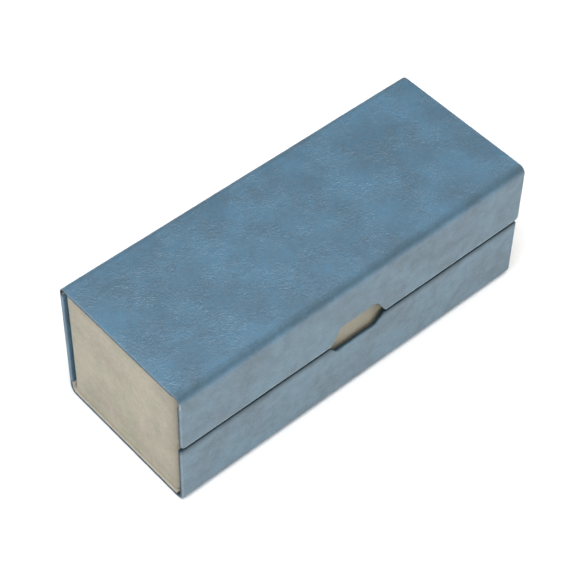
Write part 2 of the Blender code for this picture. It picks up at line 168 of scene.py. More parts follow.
class Run:
    """The cover's outer face as flat lengths and right-hand quarter turns, walked in the YZ plane."""

    def __init__(self, start, parts):
        self.parts = []
        self.length = 0.0
        heading = math.pi / 2
        place = np.array(start)
        for kind, size in parts:
            length = size if kind == "flat" else size * math.pi / 2
            self.parts.append((kind, size, self.length, place.copy(), heading))
            tangent, inward = self.directions(heading)
            if kind == "flat":
                place += tangent * length
            else:
                place += (tangent + inward) * size
                heading -= math.pi / 2
            self.length += length

    @staticmethod
    def directions(heading):
        tangent = np.array((math.cos(heading), math.sin(heading)))
        return tangent, np.array((tangent[1], -tangent[0]))

    def begin(self, index):
        """Where along the run a part begins; the count of parts stands for the run's end."""
        return self.parts[index][2] if index < len(self.parts) else self.length

    def at(self, s):
        """(y, z) on the outer face, and the inward direction there."""
        index = 0
        while index + 1 < len(self.parts) and s > self.begin(index + 1):
            index += 1
        kind, size, begin, place, heading = self.parts[index]
        tangent, inward = self.directions(heading)
        if kind == "flat":
            return place + tangent * (s - begin), inward
        angle = (s - begin) / size
        outward = tangent * math.sin(angle) - inward * math.cos(angle)
        return place + (inward + outward) * size, -outward

    def stations(self, start, end):
        """Values of s from start to end, close together on the turns."""
        marks = [start]
        for index, (kind, _, begin, _, _) in enumerate(self.parts):
            finish = self.begin(index + 1)
            low, high = max(start, begin), min(end, finish)
            if high - low < 1e-7:
                continue
            if kind == "flat":
                count = max(1, round((high - low) / ROW_STEP))
            else:
                count = max(2, round(FOLD_STEPS * (high - low) / (finish - begin)))
            marks += [low + (high - low) * step / count for step in range(1, count + 1)]
        return marks


flap_edge_z, *flap_notch = notch_of("flap_leather", FLAP_FACE)
lower_edge_z, *lower_notch = notch_of("body_leather", FRONT_FACE)
cover = Run(
    (FLAP_FACE, flap_edge_z),
    [
        ("flat", CREASE_Z - flap_edge_z),
        ("turn", CREASE_RADIUS),
        ("flat", back_crease_low.y - front_crease_high.y),
        ("turn", CREASE_RADIUS),
        ("flat", CREASE_Z - BASE_RADIUS),
        ("turn", BASE_RADIUS),
        ("flat", BACK_FACE - FRONT_FACE - 2 * BASE_RADIUS),
        ("turn", BASE_RADIUS),
        ("flat", lower_edge_z - BASE_RADIUS),
    ],
)
FRONT_CREASE = (cover.begin(1), cover.begin(2))
BACK_CREASE = (cover.begin(3), cover.begin(4))
REAR_FOLD = (cover.begin(5), cover.begin(6))
FRONT_FOLD = (cover.begin(7), cover.begin(8))


def outside(s, interval):
    """How far s lies outside an interval, negative inside it."""
    return max(interval[0] - s, s - interval[1])


def from_crease(s):
    return min(outside(s, FRONT_CREASE), outside(s, BACK_CREASE))


def relief(x, s):
    """How far the leather stands off its flat: soft unevenness, and a shallow valley beside each crease."""
    height = 0.0
    for width, length, strength, seed in (BROAD_RELIEF, FINE_RELIEF):
        height += noise.noise(Vector((x / width, s / length, seed))) * strength
    beside = abs(from_crease(s) - VALLEY_FROM_CREASE) / VALLEY_WIDTH
    return height - VALLEY_DEPTH * math.exp(-beside * beside)


def on_cover(x, s, depth):
    place, inward = cover.at(s)
    y, z = place + inward * (depth - relief(x, s))
    return Vector((x, y, z))


def turned_edge(s):
    """The section of a turned edge at s: points of (place beyond the sheet's grid, depth, wear and painted
    light).

    It rounds the board's outer corner, then its inner corner, and runs a little way in under the lining. On a
    crease there is no board, so only doubled cloth.
    """
    board = smooth_step(0, BOARD_FADE, from_crease(s))
    deepest = CREASE_EDGE_DEPTH + (TURNED_DEPTH - CREASE_EDGE_DEPTH) * board
    radius = min(EDGE_RADIUS, deepest / 2)
    centre = EDGE_ROUNDING - radius
    on_back = smooth_step(0, MM, min(s - BACK_CREASE[1], REAR_FOLD[0] - LINING_CURL - s))
    # The inner corner and the turn-in are darkened with painted shade, only faintly on the back's turn-in.
    under = -1 + (BACK_TURN_IN_PAINTED_SHADE + 1) * on_back
    # From the rim round the outer rounding the cloth is paled by wear and a painted highlight, less where it
    # faces down.
    points = [(RIM_WIDTH, 0.0, RIM_WEAR_AND_HIGHLIGHT)]
    for step in range(1, EDGE_STEPS + 1):
        angle = math.pi / 2 * step / EDGE_STEPS
        wear_and_highlight = math.sin(math.pi * step / EDGE_STEPS) - WEAR_AND_HIGHLIGHT_LESS_BELOW * step / EDGE_STEPS
        points.append((centre + radius * math.sin(angle), radius * (1 - math.cos(angle)), wear_and_highlight))
    for step in range(EDGE_STEPS + 1):
        angle = math.pi / 2 * step / EDGE_STEPS
        beyond = centre + radius * math.cos(angle)
        points.append((beyond, deepest - radius * (1 - math.sin(angle)), under))
    reach = TURN_IN + (BACK_TURN_IN - TURN_IN) * on_back - EDGE_ROUNDING
    for step in range(1, TURN_IN_STEPS + 1):
        points.append((centre - (centre + reach) * step / TURN_IN_STEPS, deepest, under))
    return points


def lining_depth(s):
    """The glued side of the lining: on the boards, and pressed into each crease."""
    share = smooth_step(-LINING_SINK, 0, from_crease(s))
    return CREASE_LINING_DEPTH + (LINING_DEPTH - CREASE_LINING_DEPTH) * share


# ---- outlines in the cloth's own plane ------------------------------------------------------------


def softened(corners):
    """A path through corners (x, e, radius), with each corner rounded by its radius."""
    path = [Vector(corners[0][:2])]
    for before, here, after in zip(corners, corners[1:], corners[2:]):
        point = Vector(here[:2])
        back = (Vector(before[:2]) - point).normalized()
        ahead = (Vector(after[:2]) - point).normalized()
        half_angle = back.angle(ahead) / 2
        reach = here[2] / math.tan(half_angle)
        centre = point + (back + ahead).normalized() * (here[2] / math.sin(half_angle))
        first, last = point + back * reach - centre, point + ahead * reach - centre
        turn = first.angle_signed(last)
        steps = max(2, round(CORNER_STEPS * abs(turn) / (math.pi / 2)))
        for step in range(steps + 1):
            path.append(centre + Matrix.Rotation(-turn * step / steps, 2) @ first)
    path.append(Vector(corners[-1][:2]))
    return path


def subdivided(path, longest):
    fine = [path[0]]
    for start, end in zip(path, path[1:]):
        count = max(1, math.ceil((end - start).length / longest))
        fine += [start.lerp(end, step / count) for step in range(1, count + 1)]
    return fine


def outward_along(path, side):
    """At each point of a path, the mitred direction away from the cloth."""
    normals = []
    for start, end in zip(path, path[1:]):
        tangent = (end - start).normalized()
        normals.append(Vector((tangent.y, -tangent.x)) * side)
    mitred = [normals[0]]
    for first, second in zip(normals, normals[1:]):
        mitred.append((first + second) / (1 + first.dot(second)))
    return mitred + [normals[-1]]


def free_edge(notch, corner, edge_z, margin):
    """A front panel's free edge, left to right as (x, distance in from the edge line), inset by margin."""
    mouth, far, far_z = notch
    rise = abs(far_z - edge_z)
    side = 2 * corner
    path = softened(
        [
            (-END, side, 0),
            (-END, 0, corner),
            (-mouth, 0, MOUTH_CORNER),
            (-far, rise, NOTCH_CORNER),
            (far, rise, NOTCH_CORNER),
            (mouth, 0, MOUTH_CORNER),
            (END, 0, corner),
            (END, side, 0),
        ]
    )[1:-1]
    path = subdivided(path, COLUMN_STEP)
    outward = outward_along(path, 1)
    outward[0], outward[-1] = Vector((-1, 0)), Vector((1, 0))
    return [point - direction * margin for point, direction in zip(path, outward)]


# ---- sheets of the cover --------------------------------------------------------------------------


class Sheet:
    """Builds one stretch of the run as a grid, with its turned edges, and keeps its texture coordinates."""

    def __init__(self, depth_at):
        self.shape = bmesh.new()
        self.cloth_map = self.shape.loops.layers.uv.new("cloth")
        # Per vertex: positive for paleness from wear and a painted highlight, negative for painted shade.
        self.wear_and_painted_light = self.shape.verts.layers.float.new("wear_and_painted_light")
        self.depth_at = depth_at
        self.cloth = {}

    def vertex(self, x, s, extra_depth=0.0, cloth=None, wear_and_painted_light=0.0):
        vert = self.shape.verts.new(on_cover(x, s, self.depth_at(s) + extra_depth))
        vert[self.wear_and_painted_light] = wear_and_painted_light
        self.cloth[vert] = cloth or (x, s)
        return vert

    def grid(self, columns):
        """columns holds, for each column, its x and its values of s."""
        self.columns = [[self.vertex(x, s) for s in values] for x, values in columns]
        for left, right in zip(self.columns, self.columns[1:]):
            for a, b, c, d in zip(left, right, right[1:], left[1:]):
                self.shape.faces.new((a, b, c, d))

    def turn_edge(self, verts, side, wear_and_light_at=lambda x, outward: 1.0):
        """Wraps the cloth round an edge, along a path of the grid's vertices.

        The scale function gives how strongly a place is paled by wear and a painted highlight, from its x and
        the direction that it faces; a negative scale turns that paleness into painted shade.
        """
        places = [Vector(self.cloth[vert]) for vert in verts]
        outward = outward_along(places, side)
        sections = [turned_edge(place.y) for place in places]
        walked = [0.0] * len(verts)
        before = [(0.0, 0.0)] * len(verts)
        previous = verts
        for points in zip(*sections):
            ring = []
            for index, (beyond, depth, wear_and_painted_light) in enumerate(points):
                walked[index] += math.dist(before[index], (beyond, depth))
                before[index] = (beyond, depth)
                x, s = places[index] + outward[index] * beyond
                cloth = tuple(places[index] + outward[index] * walked[index])
                wear_and_light = wear_and_light_at(x, outward[index]) if wear_and_painted_light > 0 else 1.0
                ring.append(self.vertex(x, s, depth, cloth, wear_and_painted_light * wear_and_light))
            for a, b, c, d in zip(previous, previous[1:], ring[1:], ring):
                self.shape.faces.new((a, b, c, d))
            previous = ring

    def finish(self, name, thickness):
        """The sheet as a closed solid of this thickness, its glued side inwards."""
        bmesh.ops.recalc_face_normals(self.shape, faces=self.shape.faces)
        middle = self.columns[len(self.columns) // 2][len(self.columns[0]) // 2]
        _, inward = cover.at(self.cloth[middle][1])
        if middle.link_faces[0].normal.dot(Vector((0, *inward))) > 0:
            bmesh.ops.reverse_faces(self.shape, faces=self.shape.faces)
        for face in self.shape.faces:
            for loop in face.loops:
                loop[self.cloth_map].uv = self.cloth[loop.vert]
        return as_solid(name, self.shape, thickness)


def linked(name, data):
    """A new object in the scene."""
    made = bpy.data.objects.new(name, data)
    bpy.context.scene.collection.objects.link(made)
    return made


def as_mesh(name, shape):
    """A finished bmesh as a mesh."""
    mesh = bpy.data.meshes.new(name)
    shape.to_mesh(mesh)
    shape.free()
    return mesh


def as_solid(name, shape, thickness):
    """Gives a surface its thickness for good, against its normals."""
    raw = linked(name, as_mesh(name, shape))
    solidify = raw.modifiers.new("thickness", "SOLIDIFY")
    solidify.thickness = thickness
    solidify.offset = -1
    solidify.use_even_offset = True
    solid = evaluated_copy(raw, name)
    bpy.data.objects.remove(raw)
    solid.data.shade_smooth()
    solid.data.set_sharp_from_angle(angle=SHARP)
    return solid


def evaluated_copy(source, name):
    bpy.context.view_layer.update()
    graph = bpy.context.evaluated_depsgraph_get()
    mesh = bpy.data.meshes.new_from_object(
        source.evaluated_get(graph), preserve_all_data_layers=True, depsgraph=graph
    )
    source.name = name + "_source"
    return linked(name, mesh)


def panel_columns(path, free_s, toward, far_stations):
    """Columns of a panel with a free edge: each starts on the path, and all share stations past the notch."""
    deepest = max(point.y for point in path) + PAST_NOTCH
    near_rows = math.ceil(deepest / ROW_STEP)
    columns = []
    for point in path:
        near = [
            free_s + toward * (point.y + (deepest - point.y) * row / near_rows) for row in range(near_rows)
        ]
        columns.append((point.x, near + far_stations(free_s + toward * deepest)))
    return columns


def leather_panel(name, path, free_s, toward, far_s, mouth, wear_and_light):
    """A leather sheet with one free edge, turned in along that edge and its two ends.

    mouth is half the notch's width. The last argument scales the paleness from wear and a painted highlight
    of the free edge and of the notch; a negative scale turns it into painted shade.
    """
    sheet = Sheet(lambda s: 0.0)

    def far_stations(joint_s):
        low, high = sorted((joint_s, far_s))
        stations = cover.stations(low, high)
        return stations if toward > 0 else stations[::-1]

    sheet.grid(panel_columns(path, free_s, toward, far_stations))
    left, right = sheet.columns[0], sheet.columns[-1]
    border = left[:0:-1] + [column[0] for column in sheet.columns] + right[1:]

    def wear_and_light_at(x, outward):
        if abs(x) < mouth:
            return wear_and_light[1]
        across = abs(outward.x)
        return SIDE_WEAR_AND_HIGHLIGHT * across + wear_and_light[0] * (1 - across)

    sheet.turn_edge(border, toward, wear_and_light_at)
    return sheet.finish(name, SKIN)


def even_columns(half_width, stations):
    count = round(2 * half_width / COLUMN_STEP)
    return [(-half_width + 2 * half_width * step / count, stations) for step in range(count + 1)]


def leather_band(name, start_s, end_s):
    """A leather sheet that meets its neighbours at both creases, turned in at its two ends."""
    sheet = Sheet(lambda s: 0.0)
    sheet.grid(even_columns(END - EDGE_ROUNDING, cover.stations(start_s, end_s)))
    sheet.turn_edge(sheet.columns[0][::-1], 1)
    sheet.turn_edge(sheet.columns[-1], 1)
    return sheet.finish(name, SKIN)


def lining_band(name, start_s, end_s, inset):
    sheet = Sheet(lining_depth)
    sheet.grid(even_columns(END - inset, cover.stations(start_s, end_s)))
    return sheet.finish(name, LINING_THICKNESS)


def lining_panel(name, path, start_s, end_s):
    """A lining whose near edge follows a path."""
    sheet = Sheet(lining_depth)
    sheet.grid(panel_columns(path, start_s, 1, lambda joint_s: cover.stations(joint_s, end_s)))
    return sheet.finish(name, LINING_THICKNESS)


def body_lining_edge(start_s):
    """The body lining's near edge: narrow up the back, full width from just above the rear fold."""
    curl = REAR_FOLD[0] - LINING_CURL - start_s
    outer, inner = END - BASE_LINING_INSET, END - BACK_LINING_INSET
    corners = [(-outer, curl), (-inner, curl), (-inner + LINING_SLANT, 0.0)]
    corners += [(-x, e) for x, e in corners[::-1]]
    path = [Vector(corner) for corner in corners]
    middle = subdivided(path[2:4], COLUMN_STEP)
    return subdivided(path[:2], COLUMN_STEP) + middle + subdivided(path[4:], COLUMN_STEP)


# ---- forms swept round a rounded rectangle --------------------------------------------------------


def plan_ring(low, high, inset, radii, counts):
    """Points round a rounded rectangle in XY, with their outward directions.

    radii are those of the front and back corners. counts says into how many pieces each stretch is cut.
    """
    low, high = Vector(low[:2]) + inset, Vector(high[:2]) - inset
    middle = (low + high) / 2
    corners = [(high.x, low.y, -90), (high.x, high.y, 0), (low.x, high.y, 90), (low.x, low.y, 180)]
    arcs = []
    for x, y, start in corners:
        radius = radii[0] if y == low.y else radii[1]
        across = Vector((math.copysign(radius, x - middle.x), math.copysign(radius, y - middle.y)))
        centre = Vector((x, y)) - across
        for step in range(CORNER_STEPS + 1):
            angle = math.radians(start + 90 * step / CORNER_STEPS)
            outward = Vector((math.cos(angle), math.sin(angle)))
            arcs.append((centre + outward * radius, outward))
    ring = []
    for (place, outward), (following, _), count in zip(arcs, arcs[1:] + arcs[:1], counts or [1] * len(arcs)):
        ring += [(place.lerp(following, step / count), outward) for step in range(count)]
    return ring


def ring_counts(low, high, radii):
    """Into how many pieces each stretch of a ring is cut, so that none is longer than a column."""
    coarse = plan_ring(low, high, Vector((0, 0)), radii, None)
    gaps = [(after[0] - here[0]).length for here, after in zip(coarse, coarse[1:] + coarse[:1])]
    return [max(1, math.ceil(gap / COLUMN_STEP)) for gap in gaps]


def quarter(centre_inset, centre_z, radius, start):
    """A quarter turn of a profile of (inset, z), anticlockwise as seen with the inset growing to the left."""
    points = []
    for step in range(EDGE_STEPS + 1):
        angle = math.radians(start + 90 * step / EDGE_STEPS)
        points.append((centre_inset - radius * math.cos(angle), centre_z + radius * math.sin(angle)))
    return points


def risen(start, end, inset, step):
    """Points of a profile straight up or down between two heights, without its ends."""
    count = max(1, round(abs(end - start) / step))
    return [(inset, start + (end - start) * index / count) for index in range(1, count)]


def swept(name, low, high, radii, profile, unevenness, close_end, thickness):
    """Sweeps a profile round a rounded rectangle, into a closed solid.

    A point of the profile is (inset, z), or (inset, z, more inset at the ends, more inset at front and back).
    """
    counts = ring_counts(low, high, radii)
    shape = bmesh.new()
    cloth_map = shape.loops.layers.uv.new("cloth")
    cloth = {}
    rings = []
    height = 0.0
    for index, (inset, z, *more) in enumerate(profile):
        if index:
            height += math.dist(profile[index - 1][:2], (inset, z))
        shrunk = [max(radius - inset, SHARPEST_CORNER) for radius in radii]
        places = plan_ring(low, high, Vector((inset, inset)) + Vector(more or (0, 0)), shrunk, counts)
        ring = []
        along = 0.0
        for (place, outward), (following, _) in zip(places, places[1:] + places[:1]):
            bump = noise.noise(Vector((place.x, place.y, z)) / UNEVENNESS_SIZE) * unevenness
            point = place + outward * bump
            vert = shape.verts.new((point.x, point.y, z))
            cloth[vert] = (along, height)
            along += (following - place).length
            ring.append(vert)
        rings.append(ring)
    for lower, upper in zip(rings, rings[1:]):
        for index in range(len(lower)):
            shape.faces.new((lower[index - 1], lower[index], upper[index], upper[index - 1]))
    if close_end:
        shape.faces.new(rings[-1])
    bmesh.ops.recalc_face_normals(shape, faces=shape.faces)
    for face in shape.faces:
        values = [cloth[loop.vert] for loop in face.loops]
        wraps = max(value[0] for value in values) - min(value[0] for value in values) > along / 2
        for loop, (walked, risen_by) in zip(face.loops, values):
            if wraps and walked < along / 2:
                walked += along
            loop[cloth_map].uv = (walked, risen_by)
    return as_solid(name, shape, thickness)


SHARPEST_CORNER = 0.3 * MM
UNEVENNESS_SIZE = 9 * MM
TRAY_UNEVENNESS = 0.06 * MM
TRAY_CORNERS = (3.0 * MM, 1.0 * MM)
TRAY_FOOT = 2.6 * MM
TRAY_END_FOOT = 0.45 * MM
TRAY_FOOT_RINGS = 9
TRAY_RIM = 1.2 * MM
TRAY_LIP = 0.5 * MM
TRAY_LIP_INSET = 1.95 * MM
TRAY_TURN_IN = 0.15 * MM
PAN_UNEVENNESS = 0.03 * MM
PAN_CORNERS = (1.5 * MM, 1.0 * MM)
PAN_FILLET = 1.2 * MM
PAN_BELOW_RIM = 0.7 * MM


def foot_inset(rise, radius):
    """How far in a rounded foot is at this height above the ground."""
    below = max(0.0, radius - rise)
    return radius - math.sqrt(radius * radius - below * below)


def tray_covering():
    """The beige covering: up the tray's sides, over the rim and a little way down inside."""
    foot_z, rim_z, lip_z = wrap_low.z + TRAY_FOOT, wrap_high.z - TRAY_RIM, wrap_high.z - TRAY_LIP
    profile = []
    for step in range(TRAY_FOOT_RINGS + 1):
        rise = TRAY_FOOT * (step / TRAY_FOOT_RINGS) ** 2
        profile.append((0.0, wrap_low.z + rise, foot_inset(rise, TRAY_END_FOOT), foot_inset(rise, TRAY_FOOT)))
    profile += risen(foot_z, rim_z, 0.0, ROW_STEP)
    profile += quarter(TRAY_RIM, rim_z, TRAY_RIM, 0)
    profile += quarter(TRAY_LIP_INSET, lip_z, TRAY_LIP, 90)
    profile.append((TRAY_LIP_INSET + TRAY_LIP, lip_z - TRAY_TURN_IN))
    return swept("tray_covering", wrap_low, wrap_high, TRAY_CORNERS, profile, TRAY_UNEVENNESS, False, SKIN)


def tray_lining():
    """The suede lining of the tray, one pan from just under the rim to the floor."""
    top, fillet_z = wrap_high.z - PAN_BELOW_RIM, liner_low.z + PAN_FILLET
    profile = [(0.0, top)] + risen(top, fillet_z, 0.0, ROW_STEP)
    profile += quarter(PAN_FILLET, fillet_z, PAN_FILLET, -90)[::-1]
    return swept(
        "tray_lining", liner_low, liner_high, PAN_CORNERS, profile, PAN_UNEVENNESS, True, LINING_THICKNESS
    )


# Unevenness of the divider's sleeve: its size and height along the top edge, and on its faces.
SLEEVE_EDGE_WAVE = (22 * MM, 0.12 * MM)
SLEEVE_EDGE_REACH = 20 * MM
SLEEVE_FACE_PUFF = (11 * MM, 0.05 * MM)
SLEEVE_SEED = 5.0
SLEEVE_ACROSS = 4
SLEEVE_FACE_SHARE = 0.9


def divider_sleeve():
    """Suede folded over the divider's board, hanging down both of its faces."""
    half = (divider_high.y - divider_low.y) / 2
    middle = (divider_high.y + divider_low.y) / 2
    bend_z = divider_high.z - half
    rise = [divider_low.z] + [z for _, z in risen(divider_low.z, bend_z, 0.0, ROW_STEP)]
    profile = [(half, z) for z in rise]
    for step in range(2 * EDGE_STEPS + 1):
        angle = math.pi * step / (2 * EDGE_STEPS)
        profile.append((half * math.cos(angle), bend_z + half * math.sin(angle)))
    profile += [(-half, z) for z in rise[::-1]]
    shape = bmesh.new()
    columns = round((divider_high.x - divider_low.x) / COLUMN_STEP)
    wave_size, wave_height = SLEEVE_EDGE_WAVE
    puff_size, puff_height = SLEEVE_FACE_PUFF
    grid = []
    for column in range(columns + 1):
        x = divider_low.x + (divider_high.x - divider_low.x) * column / columns
        lift = noise.noise(Vector((x / wave_size, 0.0, SLEEVE_SEED))) * wave_height
        verts = []
        for y, z in profile:
            share = smooth_step(bend_z - SLEEVE_EDGE_REACH, bend_z, z)
            puff = noise.noise(Vector((x, y * SLEEVE_ACROSS, z)) / puff_size) * puff_height
            side = math.copysign(1, y) if abs(y) > SLEEVE_FACE_SHARE * half else 0
            verts.append(shape.verts.new((x, middle + y + side * (puff - puff_height), z + lift * share)))
        grid.append(verts)
    for left, right in zip(grid, grid[1:]):
        for a, b, c, d in zip(left, right, right[1:], left[1:]):
            shape.faces.new((a, b, c, d))
    shape.normal_update()
    if grid[0][0].link_faces[0].normal.y < 0:
        bmesh.ops.reverse_faces(shape, faces=shape.faces)
    return as_solid("divider_sleeve", shape, LINING_THICKNESS)


PAD_VOXEL = 1.15 * MM
PAD_BEFORE_SWELLING = 0.6 * MM
PAD_ROUNDING = 1.2 * MM
PAD_ROUNDING_STEPS = 3
PAD_FRAMES = 20
PAD_PRESSURE = 4.0
PAD_MOST_RISE = 1.5 * MM
PAD_SIDE_PLAY = 0.2 * MM


def pad_blank(name, low, high):
    """The pad before it swells: a slab with rounded edges, a little too thin, remeshed into even cells."""
    shape = bmesh.new()
    bmesh.ops.create_cube(shape, size=1.0)
    high = high - Vector((0, 0, PAD_BEFORE_SWELLING))
    for vert in shape.verts:
        vert.co = (low + high) / 2 + vert.co * (high - low)
    bmesh.ops.bevel(
        shape,
        geom=shape.edges[:] + shape.verts[:],
        offset=PAD_ROUNDING,
        segments=PAD_ROUNDING_STEPS,
        profile=0.5,
        affect="EDGES",
    )
    raw = linked(name, as_mesh(name, shape))
    remesh = raw.modifiers.new("cells", "REMESH")
    remesh.mode = "VOXEL"
    remesh.voxel_size = PAD_VOXEL
    blank = evaluated_copy(raw, name)
    bpy.data.objects.remove(raw)
    return blank


def swollen(blank):
    """Where the pad's cells end up when it is blown up like a cushion, glued down by its underside."""
    floor = min(vert.co.z for vert in blank.data.vertices)
    glued = blank.vertex_groups.new(name="glued")
    glued.add([v.index for v in blank.data.vertices if v.co.z < floor + PAD_VOXEL / 2], 1.0, "REPLACE")
    cloth = blank.modifiers.new("swelling", "CLOTH")
    cloth.settings.vertex_group_mass = glued.name
    cloth.settings.use_pressure = True
    cloth.settings.uniform_pressure_force = PAD_PRESSURE
    cloth.settings.effector_weights.gravity = 0
    cloth.point_cache.frame_end = PAD_FRAMES
    scene = bpy.context.scene
    for frame_number in range(1, PAD_FRAMES + 1):
        scene.frame_set(frame_number)
    evaluated = blank.evaluated_get(bpy.context.evaluated_depsgraph_get())
    places = [vert.co.copy() for vert in evaluated.data.vertices]
    scene.frame_set(1)
    blank.modifiers.remove(cloth)
    return places


def slot_cushion(name, node):
    low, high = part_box(node)
    pad = pad_blank(name + "_blank", low, high)
    limit_low = low - Vector((PAD_SIDE_PLAY, PAD_SIDE_PLAY, 0))
    limit_high = high + Vector((PAD_SIDE_PLAY, PAD_SIDE_PLAY, PAD_MOST_RISE))
    for vert, place in zip(pad.data.vertices, swollen(pad)):
        vert.co = Vector(map(max, limit_low, map(min, limit_high, place)))
    pad.vertex_groups.clear()
    smooth = pad.modifiers.new("smoothing", "SUBSURF")
    smooth.levels = smooth.render_levels = 1
    finished = evaluated_copy(pad, name)
    bpy.data.objects.remove(pad)
    finished.data.shade_smooth()
    return finished


# ---- materials ------------------------------------------------------------------------------------

WHITE = (1.0, 1.0, 1.0)
BLUE = (0.033, 0.118, 0.194)
EDGE_WEAR_AND_HIGHLIGHT = (0.420, 0.455, 0.450, 1.0)
FRONT_PAINTED_SHEEN_AND_SHADE = (0.050, 0.100, 0.110)
CREASE_PAINTED_SHADE = (0.045, 0.060, 0.060, 1.0)
PAINTED_SHADE = (0.012, 0.024, 0.036, 1.0)
LEATHER_IOR = 1.66
BEIGE_GREENISH = (0.350, 0.336, 0.252, 1.0)
BEIGE_PINKISH = (0.386, 0.344, 0.276, 1.0)
BEIGE_PAINTED_SHADE = (0.215, 0.200, 0.150, 1.0)
SUEDE = (0.460, 0.425, 0.350)
CUSHION = (0.400, 0.366, 0.298)
GREYBOARD = (0.240, 0.218, 0.184)
NICKEL = (0.560, 0.545, 0.520)


def shade(colour, share):
    return (*[channel * share for channel in colour], 1.0)


class Shader:
    """A node material under construction."""

    def __init__(self, name):
        self.material = bpy.data.materials.new(name)
        self.material.use_nodes = True
        self.tree = self.material.node_tree
        self.surface = self.tree.nodes["Principled BSDF"]

    def feed(self, socket, value):
        if isinstance(value, bpy.types.NodeSocket):
            self.tree.links.new(value, socket)
        else:
            socket.default_value = value

    def node(self, kind, inputs, output=0, **settings):
        node = self.tree.nodes.new("ShaderNode" + kind)
        for name, value in settings.items():
            setattr(node, name, value)
        for key, value in inputs.items():
            self.feed(node.inputs[key], value)
        return node.outputs[output]

    def cloth(self):
        return self.node("UVMap", {}, uv_map="cloth")

    def place(self):
        return self.node("TexCoord", {}, "Object")

    def stretched(self, place, times):
        """Texture coordinates that draw a pattern out along X."""
        return self.node("Mapping", {"Vector": place, "Scale": (1 / times, 1.0, 1.0)})

    def attribute(self, name):
        return self.node("Attribute", {}, "Fac", attribute_name=name)

    def noise(self, vector, size, detail=2.0, roughness=0.5, distortion=0.0):
        inputs = {"Vector": vector, "Scale": 1 / size, "Detail": detail, "Roughness": roughness}
        return self.node("TexNoise", inputs | {"Distortion": distortion})

    def cells(self, vector, size, feature):
        return self.node("TexVoronoi", {"Vector": vector, "Scale": 1 / size}, feature=feature)

    def ramp(self, value, low, high, to_low=0.0, to_high=1.0):
        inputs = {"Value": value, "From Min": low, "From Max": high, "To Min": to_low, "To Max": to_high}
        return self.node("MapRange", inputs, interpolation_type="SMOOTHSTEP")

    def ridges(self, value, width):
        """0 along the winding lines where a noise is midway, rising to 1 away from them."""
        away = self.math("ABSOLUTE", self.math("SUBTRACT", value, 0.5))
        return self.ramp(away, 0.0, width)

    def math(self, operation, first, second=0.0):
        return self.node("Math", {0: first, 1: second}, operation=operation)

    def weighed(self, *pairs):
        """The sum of value × weight."""
        total = 0.0
        for value, weight in pairs:
            total = self.node("Math", {0: value, 1: weight, 2: total}, operation="MULTIPLY_ADD")
        return total

    def mix(self, factor, first, second):
        return self.node("Mix", {0: factor, 6: first, 7: second}, 2, data_type="RGBA")

    def bump(self, height, distance):
        bumped = self.node("Bump", {"Height": height, "Distance": distance})
        self.feed(self.surface.inputs["Normal"], bumped)

    def finish(self, **inputs):
        for name, value in inputs.items():
            self.feed(self.surface.inputs[name.replace("_", " ").title().replace("Ior", "IOR")], value)
        return self.material


GRAIN_WARP_SIZE = MM / 0.38
GRAIN_WARP = 2.2 * MM
LONG_FOLDS = 3.2 * MM
SHORT_FOLDS = 1.5 * MM
GRAIN_CELLS = 1.25 * MM
PORES = 0.35 * MM


def leather_grain(shader, cloth):
    """Height of a pressed grain: wrinkles of two sizes between rounded cells, and pores. 1 is highest."""
    warp_inputs = {"Vector": cloth, "Scale": 1 / GRAIN_WARP_SIZE, "Detail": 2.0}
    warp = shader.node("TexNoise", warp_inputs, "Color")
    shift = shader.node("VectorMath", {0: warp, "Scale": GRAIN_WARP}, operation="SCALE")
    warped = shader.node("VectorMath", {0: cloth, 1: shift}, operation="ADD")
    long_folds = shader.ridges(shader.noise(warped, LONG_FOLDS, 1.0), 0.16)
    short_folds = shader.ridges(shader.noise(warped, SHORT_FOLDS, 1.0), 0.20)
    cells = shader.ramp(shader.cells(warped, GRAIN_CELLS, "DISTANCE_TO_EDGE"), 0.0, 0.28)
    pores = shader.noise(cloth, PORES, 1.0)
    return shader.weighed((long_folds, 0.26), (short_folds, 0.30), (cells, 0.32), (pores, 0.12))


def band(shader, run_place, centre, half_width):
    """1 on a line across the cloth's run, falling to 0 at half_width from it."""
    away = shader.math("ABSOLUTE", shader.math("SUBTRACT", run_place, centre))
    return shader.ramp(away, 0.0, half_width, 1.0, 0.0)


def within(shader, run_place, start, end):
    """1 between two places of the run, 0 outside them."""
    reach = (end - start) / 2
    away = shader.math("ABSOLUTE", shader.math("SUBTRACT", run_place, start + reach))
    return shader.ramp(away, reach, reach - 2 * MM)


# Dull lines of painted shade beside the folds: how far each is inside its crease, its half width and its
# strength.
FRONT_CREASE_SHADE = (2.0 * MM, 3.6 * MM, 1.0)
BACK_CREASE_SHADE = (1.8 * MM, 3.0 * MM, 0.3)
# How far down the lower panel, from its free edge, the flap's painted shadow reaches.
FLAP_SHADOW_REACH = 4.0 * MM


def crease_shade(shader, run_place):
    """How far the leather is dulled and darkened with painted shade by each crease, along the edge of the
    lid.
    """
    inside, half_width, strength = FRONT_CREASE_SHADE
    front = band(shader, run_place, FRONT_CREASE[1] - inside, half_width)
    inside, half_width, back_strength = BACK_CREASE_SHADE
    back = band(shader, run_place, BACK_CREASE[0] + inside, half_width)
    return shader.weighed((front, strength), (back, back_strength))


# Sizes in the blue leather's colour and grain, then how strongly painted shade and the front's painted sheen
# darken or grey it.
CLOUDS = 21 * MM
MOTTLING = 5 * MM
GRAIN_PATCHES = 13 * MM
PALE_EDGE_PATCHES = 3 * MM
GRAIN_DEPTH = 0.20 * MM
CREASE_PAINTED_SHADE_SHARE = 0.45
FRONT_SHEEN_AND_SHADE_SHARE = 0.38
FLAP_SHADOW_SHARE = 0.60
PAINTED_SHADE_SHARE = 0.80
BASE_PAINTED_SHADE = 0.35


